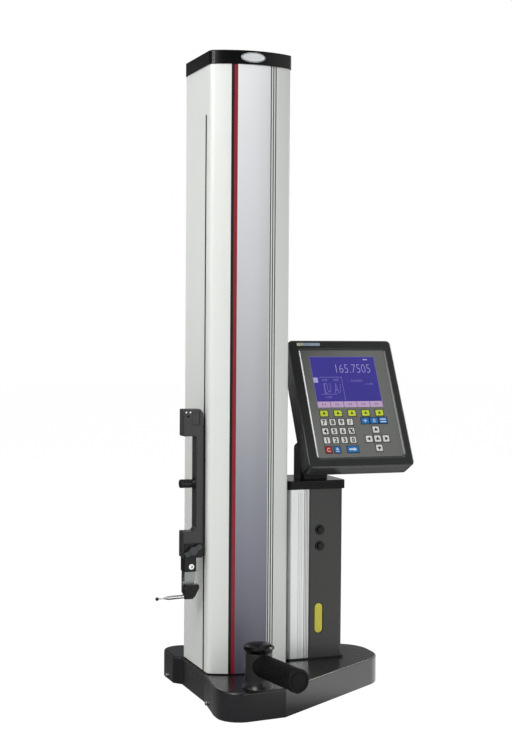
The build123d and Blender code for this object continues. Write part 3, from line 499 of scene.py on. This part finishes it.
def facing(place_mm, normal):
    """Matrix that stands a model at a place with its Z axis along a normal."""
    turned_to = Vector(normal).to_track_quat("Z", "Y").to_matrix().to_4x4()
    return Matrix.Translation([c * MM for c in place_mm]) @ turned_to


# %% [markdown]
# ## Lips of the carriage slot
# The slot in the column's left wall is lined with two strips of black rubber that keep grit off
# the guide. They are what makes the slot read as a crisp black line. One strip is a bar whose
# nose is rounded; the other is its copy, turned to face it.

# %% Slot lips
SLOT_X, SLOT_Y, SLOT_HALF = -64.0, -47.0, 2.7
LIP_DEEP, LIP_T = 3.4, 0.4
SLOT_LOW, SLOT_HIGH = 46.0, 904.6
lip = bar((LIP_DEEP, LIP_T, SLOT_HIGH - SLOT_LOW), (0, 0, 0))
ops.object.mode_set(mode="EDIT")
pick_edges(lambda a, b: abs(a.z - b.z) > 0.5 and a.y < 0)
ops.mesh.bevel(offset=0.15 * MM, segments=3, affect="EDGES")
ops.object.mode_set(mode="OBJECT")
middle = (SLOT_LOW + SLOT_HIGH) / 2
offset = SLOT_HALF - LIP_T / 2
lips = copies(lip, [Matrix.Translation(Vector((SLOT_X, SLOT_Y + offset, middle)) * MM),
                    Matrix.Translation(Vector((SLOT_X, SLOT_Y - offset, middle)) * MM)
                    @ Matrix.Rotation(math.pi, 4, "Z")])
settle(lips, "slot_lips", seal, "base")

# %% [markdown]
# ## Key frames
# Each key field has a thin black frame printed round it, which also stands for painted shade
# along the edge of the embossed key. A frame is a flat plate that is inset once; its middle is
# deleted, and the ring that is left is given the thickness of the ink. Ink is only hundredths
# of a millimetre thick, so it is drawn a little thicker to stay a solid.

# %% Key places
FOIL_Z, KEY_Z, GLASS_Z = -2.0, -1.5, -2.2    # heights of the printed faces on the screen plane
INK = 0.06                                   # thickness of the drawn ink
FRAME_LINE = 1.3                             # width of the frame printed round a key
white_keys = [(-55 + 15.2 * column, -33.7 - 15.6 * row) for row in range(3) for column in range(4)]
cross_keys = [(34, -47.8), (19, -63.8), (34, -63.8), (49, -63.8), (34, -79.8)]
yellow_keys = [(-52 + 24.5 * i, -18.3) for i in range(5)]
blue_keys = [(18, -32), (34, -32), (50, -32)]
key_rows = [(white_keys, 10, 10.5), (cross_keys, 11, 11), (yellow_keys, 13, 10),
            (blue_keys, 13.5, 10), ([(-55, -81.3), (-39.8, -81.3)], 10, 10.5),
            ([(-12.7, -81.3)], 19.4, 10.5)]


# %% Key frames
def ink_and_shade_frame(width, height, line):
    """Flat frame of print and painted edge shade: a plate inset once, its middle deleted, then
    thickened.
    """
    start_piece()
    ops.mesh.primitive_plane_add(size=1)
    frame_piece = bpy.context.object
    frame_piece.scale = ((width + 2 * line) * MM, (height + 2 * line) * MM, 1)
    ops.object.transform_apply(location=False, rotation=False, scale=True)
    ops.object.mode_set(mode="EDIT")
    ops.mesh.select_all(action="SELECT")
    ops.mesh.inset(thickness=line * MM)
    ops.mesh.delete(type="FACE")
    ops.mesh.select_all(action="SELECT")
    ops.mesh.extrude_region_move(TRANSFORM_OT_translate={"value": (0, 0, INK * MM)})
    ops.object.mode_set(mode="OBJECT")
    return frame_piece


ink, tree, shader, place = finish("black_screen_ink", "#0C0D0D", 0.4)
relief(tree, shader, place, 0.3, 0.003, edge_mm=0.05)
frames = []
# Painted shade: these dark frames stand partly for the shade along the embossed keys' edges.
for places, width, height in key_rows:
    ring = ink_and_shade_frame(width, height, FRAME_LINE)
    stands = [Matrix.Translation(Vector((x, y, FOIL_Z)) * MM) for x, y in places]
    frames.append(copies(ring, stands))
settle(join(frames), "key_frames", ink, "display", screen_plane)


# %% [markdown]
# ## Key legends
# Digits and signs are text objects, given a hair of thickness and made a mesh before they are
# moved to the panel. Arrows start as a three-sided disc that is extruded. All legends of one
# colour are joined, because they are one pass of the printer.

# %% Text and arrow helpers
def lettering(body, centre, size, z, thin=0.0):
    """Text as a thin solid that fits a box; a width of 0 keeps the letters' own width."""
    start_piece()
    ops.object.text_add()
    text = bpy.context.object
    text.data.body = body
    text.data.size = 10 * MM
    text.data.offset = thin * MM
    text.data.extrude = INK * MM / 2
    text.data.resolution_u = 3
    ops.object.convert(target="MESH")
    text = bpy.context.object
    low, high = Vector(text.bound_box[0]), Vector(text.bound_box[6])
    text.location = (low + high) / -2
    ops.object.transform_apply(location=True, rotation=False, scale=False)
    tall = size[1] * MM / (high.y - low.y)
    wide = size[0] * MM / (high.x - low.x) if size[0] else tall
    text.scale = (wide, tall, 1)
    text.location = Vector((centre[0], centre[1], z + INK / 2)) * MM
    ops.object.transform_apply(location=True, rotation=False, scale=True)
    return text


def arrow(centre, size, turn, z):
    """Triangular arrow head that points up at no turn."""
    start_piece()
    ops.mesh.primitive_circle_add(vertices=3, radius=size * MM, fill_type="NGON",
                                  location=Vector((centre[0], centre[1], z)) * MM,
                                  rotation=(0, 0, math.radians(turn)))
    head = bpy.context.object
    ops.object.mode_set(mode="EDIT")
    ops.mesh.select_all(action="SELECT")
    ops.mesh.extrude_region_move(TRANSFORM_OT_translate={"value": (0, 0, INK * MM)})
    ops.object.mode_set(mode="OBJECT")
    return head


def stroke(x_span, y_span, z):
    """Printed line: a thin bar with rounded ends."""
    size = (x_span[1] - x_span[0], y_span[1] - y_span[0], INK)
    middle = ((x_span[0] + x_span[1]) / 2, (y_span[0] + y_span[1]) / 2, z + INK / 2)
    return round_corners(bar(size, middle), min(min(size[:2]) * 0.3, 0.4), 2)


# %% Dark legends
digits = [lettering(sign, at, (0, 8.2), KEY_Z, thin=0.34)
          for sign, at in zip("789/456%1230", white_keys)]
heads = [arrow(at, 3.2, 0, KEY_Z) for at in yellow_keys]
heads += [arrow(at, 3.8, turn, KEY_Z)
          for at, turn in zip(cross_keys, (0, 90, 0, -90, 180))]
settle(join(digits + heads), "legends_dark", ink, "display", screen_plane)

# %% Light legends
pale_ink, tree, shader, place = finish("pale_screen_ink", "#CFE0EA", 0.4)
relief(tree, shader, place, 0.3, 0.003, edge_mm=0.05)
light = [lettering(sign, at, (0, 6.2), KEY_Z) for sign, at in zip("+0=", blue_keys)]
light += [lettering("C", (-55, -81.3), (5.4, 6.6), KEY_Z), arrow((-39.8, -80.3), 3.0, 0, KEY_Z),
          stroke((-42.6, -37.0), (-84.9, -83.7), KEY_Z),
          stroke((-19.2, -11.5), (-82.6, -79.8), KEY_Z), arrow((-9.4, -81.2), 3.6, -90, KEY_Z)]
settle(join(light), "legends_light", pale_ink, "display", screen_plane)

# %% [markdown]
# ## What the screen shows
# The reading, a small chart and a row of soft keys are segments that let more of the back light
# through, so their material is emission and little else. They lie on the glass as thin solids.

# %% Bright segments
def back_lit(name, colour, strength):
    """Material of a lit segment."""
    lit, tree, shader, place = finish(name, "#101020", 0.3)
    glow_noise = add(tree, "ShaderNodeTexNoise", {"Scale": 300.0}, {"Vector": place})
    dim = [c * 0.8 for c in linear(colour)[:3]] + [1.0]
    colours = add(tree, "ShaderNodeMix", {"data_type": "RGBA", 6: dim, 7: linear(colour)},
                  {0: glow_noise.outputs["Fac"]})
    tree.links.new(colours.outputs[2], shader.inputs["Emission Color"])
    shader.inputs["Emission Strength"].default_value = strength
    return lit


bright = back_lit("lit_segments", "#B4ACE2", 0.9)
dim_lit = back_lit("dim_segments", "#8078C4", 0.85)
reading = [lettering("165.7505", (14, 61.5), (61, 15), GLASS_Z, thin=-0.24),
           stroke((34.5, 42.5), (76.8, 78.6), GLASS_Z),
           stroke((-60, -52), (36.5, 45.5), GLASS_Z)]
settle(join(reading), "screen_reading", bright, "display", screen_plane)

# %% Chart and border
chart = [stroke((-49, -9), (45.6, 46.5), GLASS_Z), stroke((-10, -9.2), (4, 46), GLASS_Z),
         stroke((-50, -22), (15.4, 16.2), GLASS_Z),
         lettering("[", (-41, 26), (5, 18), GLASS_Z, thin=-0.1),
         lettering("U", (-35, 27), (6, 16), GLASS_Z, thin=-0.1),
         lettering("A", (-22, 26), (7, 18), GLASS_Z, thin=-0.1),
         lettering("/", (-15, 26), (4, 16), GLASS_Z, thin=-0.1),
         lettering("mm", (-40, 41), (9, 4), GLASS_Z), lettering("mm", (-20, 41), (9, 4), GLASS_Z),
         lettering("0.000", (-38, 10.5), (11, 3.6), GLASS_Z),
         lettering("- 0.0000", (14, 39.5), (26, 3.4), GLASS_Z),
         lettering("-- 0.00", (36, 33.5), (17, 3.4), GLASS_Z),
         stroke((-60.3, 55.3), (82.3, 83.1), GLASS_Z), stroke((54.6, 55.3), (3, 82.3), GLASS_Z),
         stroke((-60.3, -59.7), (3, 82.3), GLASS_Z)]
settle(join(chart), "screen_chart", dim_lit, "display", screen_plane)

# %% Soft key marks
marks = [lettering(f"F{i + 1}", (-48.9 + 23.2 * i, -2.6), (6, 3.6), GLASS_Z) for i in range(5)]
shadow_ink = back_lit("dark_segments", "#4C4496", 0.8)
settle(join(marks), "screen_soft_keys", shadow_ink, "display", screen_plane)

# %% [markdown]
# ## Bare label strip and badge rim
# A thin label sits at the top left of the bezel. It carries no words here; its satin foil runs
# from cream to blue-grey. The badge on the cap is bare too, with a raised rim that is a shade
# darker, so that the oval has an outline. The rim starts as an oval ring that is laid on the
# curved badge by a shrinkwrap, then thickened.

# %% Label strip
label, tree, shader, place = finish("satin_label_foil", "#A6BACE", 0.35, 0.2)
axes = add(tree, "ShaderNodeSeparateXYZ", links={"Vector": place})
CREAM_END, BLUE_START = 0.122, 0.134
run = add(tree, "ShaderNodeMapRange", {"From Min": CREAM_END, "From Max": BLUE_START},
          {"Value": axes.outputs["X"]})
tones = add(tree, "ShaderNodeMix",
            {"data_type": "RGBA", 6: linear("#DCD8BC"), 7: linear("#A6BACE")},
            {0: run.outputs["Result"]})
tree.links.new(tones.outputs[2], shader.inputs["Base Color"])
relief(tree, shader, place, 0.3, 0.003, edge_mm=0.2)
strip = round_corners(bar((40.5, 5.2, 0.5), (-59, 104.3, 0.25)), 1.0)
settle(strip, "label_strip", label, "display", screen_plane)

# %% Badge rim
RIM_HALF_W, RIM_HALF_H = 19.2, 7.3
RIM_INNER = (0.935, 0.85, 1)                 # inner oval as a share of the outer one
RIM_AT = (-3.5, -90.5, 989.5)
start_piece()
ops.mesh.primitive_circle_add(vertices=64, radius=1, location=(0, 0, 0))
rim = bpy.context.object
rim.scale = (RIM_HALF_W * MM, RIM_HALF_H * MM, 1)
ops.object.transform_apply(location=False, rotation=False, scale=True)
ops.object.mode_set(mode="EDIT")
ops.mesh.select_all(action="SELECT")
ops.mesh.extrude_edges_move()
ops.transform.resize(value=RIM_INNER, center_override=(0, 0, 0))
ops.object.mode_set(mode="OBJECT")
rim.matrix_world = facing(RIM_AT, (0, -1, 0))
ops.object.transform_apply(location=True, rotation=True, scale=True)
wrap = rim.modifiers.new("lay_on_badge", "SHRINKWRAP")
wrap.target = nodes["cap_badge"]
wrap.wrap_method = "PROJECT"
wrap.use_project_y = True
wrap.use_positive_direction = wrap.use_negative_direction = True
wrap.offset = 0.00005
ops.object.modifier_apply(modifier=wrap.name)
thick = rim.modifiers.new("thickness", "SOLIDIFY")
thick.thickness = 0.5 * MM
thick.offset = 0
ops.object.modifier_apply(modifier=thick.name)
chrome_rim, tree, shader, place = finish("satin_chrome_rim", "#8E9193", 0.25, 0.6)
relief(tree, shader, place, 0.3, 0.003, edge_mm=0.15)
settle(rim, "badge_rim", chrome_rim, "base")

# %% [markdown]
# ## Ribs of the pillar's extrusion
# Beside its grooves the extrusion carries three fine ribs, front and back. A rib is a bar with
# its two long outer edges rounded; it is modelled once and copied.

# %% Pillar ribs
RIB_X, RIB_LOW, RIB_HIGH = (102.6, 105.6, 108.6), 46.6, 314.4
RIB_FRONT_Y, RIB_BACK_Y = -21.1, 74.1
rib = bar((1.1, 0.5, RIB_HIGH - RIB_LOW), (0, 0, 0))
ops.object.mode_set(mode="EDIT")
pick_edges(lambda a, b: abs(a.z - b.z) > 0.1 and a.y < 0)
ops.mesh.bevel(offset=0.2 * MM, segments=3, affect="EDGES")
ops.object.mode_set(mode="OBJECT")
rib_middle = (RIB_LOW + RIB_HIGH) / 2
stands = [Matrix.Translation(Vector((x, RIB_FRONT_Y, rib_middle)) * MM) for x in RIB_X]
stands += [Matrix.Translation(Vector((x, RIB_BACK_Y, rib_middle)) * MM)
           @ Matrix.Rotation(math.pi, 4, "Z") for x in RIB_X]
settle(copies(rib, stands), "pillar_ribs", drawn, "base")

# %% [markdown]
# ## Screws, and the connector plate behind the pillar
# One button-head screw is modelled from a cylinder: its head is bevelled, its top inset and
# pushed in for the key. Its copies hold the rear of the covers. The plate behind the pillar has
# round sockets for the supply and the printer, made the same way from larger cylinders, and the
# back of the display has a thin cover over its service opening.

# %% One button-head screw
def button_screw(radius, height):
    """Screw head on the XY plane, its socket looking up."""
    start_piece()
    ops.mesh.primitive_cylinder_add(vertices=24, radius=radius * MM, depth=height * MM,
                                    location=(0, 0, height * MM / 2))
    ops.object.transform_apply(location=True, rotation=False, scale=False)
    ops.object.mode_set(mode="EDIT")
    pick_edges(lambda a, b: min(a.z, b.z) > height * MM * 0.9)
    ops.mesh.bevel(offset=height * MM * 0.55, segments=3, affect="EDGES")
    pick_faces((0, 0, 1), 0.999)
    ops.mesh.inset(thickness=radius * MM * 0.18)
    ops.mesh.extrude_region_move(TRANSFORM_OT_translate={"value": (0, 0, -height * MM * 0.6)})
    ops.object.mode_set(mode="OBJECT")
    return bpy.context.object


def screws(name, radius, height, places, body):
    """A set of equal screws on one body."""
    heads = copies(button_screw(radius, height), places)
    settle(heads, name, turned, body)


# The faces that the screws sit on: three places along Y, and the depth of the display's case.
COLUMN_BACK, PILLAR_BACK, BRACKET_FRONT, CASE_T = 60, 74, -58, 37.5
screws("column_screws", 3.0, 1.6, [facing((x, COLUMN_BACK, z), (0, 1, 0)) for x in (-50, 50)
                                   for z in (72, 360, 660, 950)], "base")
screws("pillar_screws", 2.4, 1.3, [facing((x, PILLAR_BACK, z), (0, 1, 0)) for x in (131, 172)
                                   for z in (58, 308)], "base")
screws("bracket_set_screws", 1.5, 0.6, [facing((x, BRACKET_FRONT, 448.4), (0, -1, 0))
                                        for x in (-98.6, -92.0)], "carriage")
behind = screen_plane @ Matrix.Translation((0, 0, -CASE_T * MM))
behind = behind @ Matrix.Rotation(math.pi, 4, "X")
screws("display_screws", 2.4, 1.2, [behind @ Matrix.Translation((x * MM, y * MM, 0))
                                    for x in (-79, 75.4) for y in (-96, 96)], "display")

# %% Connector plate
PLATE_FLOOR = 1.1         # height of the sunk middle of the plate, under its rim
plate_at = facing((151, PILLAR_BACK, 118), (0, 1, 0))
plate = round_corners(bar((40, 78, 1.6), (0, 0, 0.8)), 4, 4)
ops.object.mode_set(mode="EDIT")
pick_faces((0, 0, 1))
ops.mesh.inset(thickness=1.2 * MM)
ops.mesh.extrude_region_move(TRANSFORM_OT_translate={"value": (0, 0, -0.5 * MM)})
ops.object.mode_set(mode="OBJECT")
settle(plate, "connector_plate", black_oxide, "base", plate_at)
screws("connector_screws", 1.6, 0.9,
       [plate_at @ Matrix.Translation((x * MM, y * MM, PLATE_FLOOR * MM))
        for x in (-15, 15) for y in (-34, 34)], "base")


# %% Round sockets
def socket(radius, height):
    """Round socket shell with a deep hole and a flange."""
    start_piece()
    ops.mesh.primitive_cylinder_add(vertices=32, radius=radius * MM, depth=height * MM,
                                    location=(0, 0, height * MM / 2))
    ops.object.transform_apply(location=True, rotation=False, scale=False)
    ops.object.mode_set(mode="EDIT")
    pick_faces((0, 0, 1), 0.999)
    ops.mesh.inset(thickness=radius * MM * 0.2)
    ops.mesh.extrude_region_move(TRANSFORM_OT_translate={"value": (0, 0, -height * MM * 0.8)})
    pick_edges(lambda a, b: min(a.z, b.z) > height * MM * 0.9 and a.xy.length > radius * MM * 0.95)
    ops.mesh.bevel(offset=0.4 * MM, segments=2, affect="EDGES")
    ops.object.mode_set(mode="OBJECT")
    return bpy.context.object


sockets = copies(socket(7.0, 4.0), [plate_at @ Matrix.Translation((0, y * MM, PLATE_FLOOR * MM))
                                    for y in (-18, 3, 24)])
settle(sockets, "rear_sockets", milled, "base")

# %% Service cover behind the display
door = round_corners(bar((96, 62, 1.4), (-1.8, 40, 0.7)), 5, 4)
ops.object.mode_set(mode="EDIT")
pick_faces((0, 0, 1))
ops.mesh.inset(thickness=1.0 * MM)
ops.transform.translate(value=(0, 0, 0.4 * MM))
ops.object.mode_set(mode="OBJECT")
settle(door, "display_service_cover", case_abs, "display",
       behind @ Matrix.Rotation(math.pi, 4, "Z"))


# %% [markdown]
# ## Floor and surroundings
# The studio is plain: a pale floor, a white surround and soft boxes. Dark enamel looks like
# enamel only when it mirrors something bright beside something dark, so a photographer sets a
# white card on one side and black flags on the other. The same is done here: what glossy rays
# meet is white to the right and overhead, grey in front and dark behind, while the camera sees
# plain white. Two helpers build such a grading from smooth steps along the room's axes.

# %% Graded surroundings
def stretch_of(tree, value, low, high):
    """Smooth step from 0 to 1 as a value goes from low to high."""
    node = add(tree, "ShaderNodeMapRange", {"interpolation_type": "SMOOTHSTEP",
                                            "From Min": low, "From Max": high}, {"Value": value})
    return node.outputs["Result"]


def weigh(tree, start, parts):
    """Add up weighted outputs, beginning at a plain number."""
    total = None
    for weight, output in parts:
        node = add(tree, "ShaderNodeMath", {"operation": "MULTIPLY_ADD", 1: weight, 2: start},
                   {0: output})
        if total:
            tree.links.new(total, node.inputs[2])
        total = node.outputs[0]
    return total


# %% Floor
FLOOR_GLOW = 1.115        # with the share below it comes out a little under white
FLOOR_SHARE = 0.86        # the rest is plain paint, which keeps the object's shadow
DARK = 0.06               # what a black flag still gives back
bpy.ops.mesh.primitive_grid_add(x_subdivisions=8, y_subdivisions=8, size=24, location=(0, 0, 0))
floor = bpy.context.active_object
floor.name = "floor"
pale, tree, shader, place = finish("pale_floor_paint", "#F2F2F0", 0.8)
axes = add(tree, "ShaderNodeSeparateXYZ", links={"Vector": place})
path = add(tree, "ShaderNodeLightPath")
mirrored = weigh(tree, DARK, [(1.25, stretch_of(tree, axes.outputs["X"], 0.05, 0.22)),
                              (-1.0, stretch_of(tree, axes.outputs["X"], 0.5, 1.4)),
                              (0.22, stretch_of(tree, axes.outputs["Y"], 0.1, -0.35)),
                              (0.38, stretch_of(tree, axes.outputs["Y"], -0.35, -0.8)),
                              (-0.25, stretch_of(tree, axes.outputs["Y"], -1.4, -2.4))])
near = weigh(tree, 0.25, [(0.75, stretch_of(tree, axes.outputs["Y"], -2.8, -2.3))])
near_part = add(tree, "ShaderNodeMath", {"operation": "MULTIPLY"}, {0: mirrored, 1: near})
front_part = add(tree, "ShaderNodeMath", {"operation": "MULTIPLY"},
                 {0: near_part.outputs[0],
                  1: stretch_of(tree, axes.outputs["Y"], 0.33, 0.15)})
level = add(tree, "ShaderNodeMix", {"data_type": "FLOAT", 2: FLOOR_GLOW},
            {0: path.outputs["Is Glossy Ray"], 3: front_part.outputs[0]})
seen = add(tree, "ShaderNodeMath", {"operation": "MAXIMUM"},
           {0: path.outputs["Is Camera Ray"], 1: path.outputs["Is Glossy Ray"]})
seen = add(tree, "ShaderNodeMath", {"operation": "MAXIMUM"},
           {0: seen.outputs[0], 1: path.outputs["Is Transmission Ray"]})
share = add(tree, "ShaderNodeMath", {"operation": "MULTIPLY", 1: FLOOR_SHARE},
            {0: seen.outputs[0]})
glow = add(tree, "ShaderNodeEmission", {"Color": (1, 1, 1, 1)}, {"Strength": level.outputs[0]})
blend = add(tree, "ShaderNodeMixShader", {}, {0: share.outputs[0], 1: shader.outputs[0],
                                              2: glow.outputs[0]})
tree.links.new(blend.outputs[0], tree.nodes["Material Output"].inputs["Surface"])
floor.data.materials.append(pale)
print("floor:", [round(side, 2) for side in floor.dimensions])

# %% [markdown]
# ## Surround
# The world stands for the studio's walls. The camera, and whatever is seen through glass, meets
# plain white. Matt surfaces get a small even share of it, and glossy rays meet the same cards
# and flags as on the floor, placed here by the direction in which a ray leaves.

# %% World
ROOM = 0.25               # light of the white room on matt surfaces
world = bpy.data.worlds.new("studio")
bpy.context.scene.world = world
world.use_nodes = True
tree = world.node_tree
tree.nodes.clear()
path = add(tree, "ShaderNodeLightPath")
sky = add(tree, "ShaderNodeTexCoord").outputs["Generated"]
axes = add(tree, "ShaderNodeSeparateXYZ", links={"Vector": sky})
mirrored = weigh(tree, DARK, [(0.80, stretch_of(tree, axes.outputs["X"], 0.3, 0.8)),
                              (0.90, stretch_of(tree, axes.outputs["Z"], 0.82, 0.92)),
                              (0.50, stretch_of(tree, axes.outputs["Z"], 0.20, 0.08)),
                              (0.05, stretch_of(tree, axes.outputs["Y"], 0.2, -0.4))])
level = add(tree, "ShaderNodeMix", {"data_type": "FLOAT", 2: ROOM},
            {0: path.outputs["Is Glossy Ray"], 3: mirrored})
seen = add(tree, "ShaderNodeMath", {"operation": "MAXIMUM"},
           {0: path.outputs["Is Camera Ray"], 1: path.outputs["Is Transmission Ray"]})
level = add(tree, "ShaderNodeMix", {"data_type": "FLOAT", 3: 1.0},
            {0: seen.outputs[0], 2: level.outputs[0]})
surround = add(tree, "ShaderNodeBackground", {"Color": (1, 1, 1, 1)},
               {"Strength": level.outputs[0]})
add(tree, "ShaderNodeOutputWorld", links={"Surface": surround.outputs[0]})
print("room light:", ROOM)


# %% [markdown]
# ## Soft boxes
# Six area lamps stand for soft boxes, the largest of them at the front left. A lamp's spread
# works like a honeycomb grid: a small one narrows the cone and concentrates it, so such a lamp
# brightens one edge, leaves the pieces beside it alone, and needs very few watts.

# %% Soft boxes
def soft_box(name, place, aim, size, watts, spread=180):
    """Rectangular lamp that faces a point; a small spread is a grid that narrows its cone."""
    lamp = bpy.data.lights.new(name, "AREA")
    lamp.shape = "RECTANGLE"
    lamp.size, lamp.size_y = size
    lamp.energy = watts
    lamp.spread = math.radians(spread)
    holder = bpy.data.objects.new(name, lamp)
    bpy.context.scene.collection.objects.link(holder)
    holder.location = place
    holder.rotation_euler = (Vector(aim) - Vector(place)).to_track_quat("-Z", "Y").to_euler()


soft_box("key_box", (-1.6, -1.5, 1.9), (0, 0, 0.7), (1.1, 1.4), 38)
soft_box("left_box", (-2.2, 0.0, 1.9), (0, 0, 0.82), (0.8, 0.8), 1.15, spread=60)
soft_box("front_box", (0.9, -2.6, 0.8), (0.15, 0, 0.4), (0.9, 0.9), 8)
soft_box("edge_box", (1.5, 0.10, 0.98), (0.1, 0, 0.3), (0.4, 0.4), 0.55, spread=50)
soft_box("corner_box", (-1.9, -0.75, 1.38), (0, 0, 0.99), (0.12, 0.4), 0.25, spread=40)
soft_box("top_box", (0.0, 0.3, 2.6), (0, 0, 0.4), (0.6, 0.6), 8)
print("lamps:", ", ".join(lamp.name for lamp in bpy.data.lights))
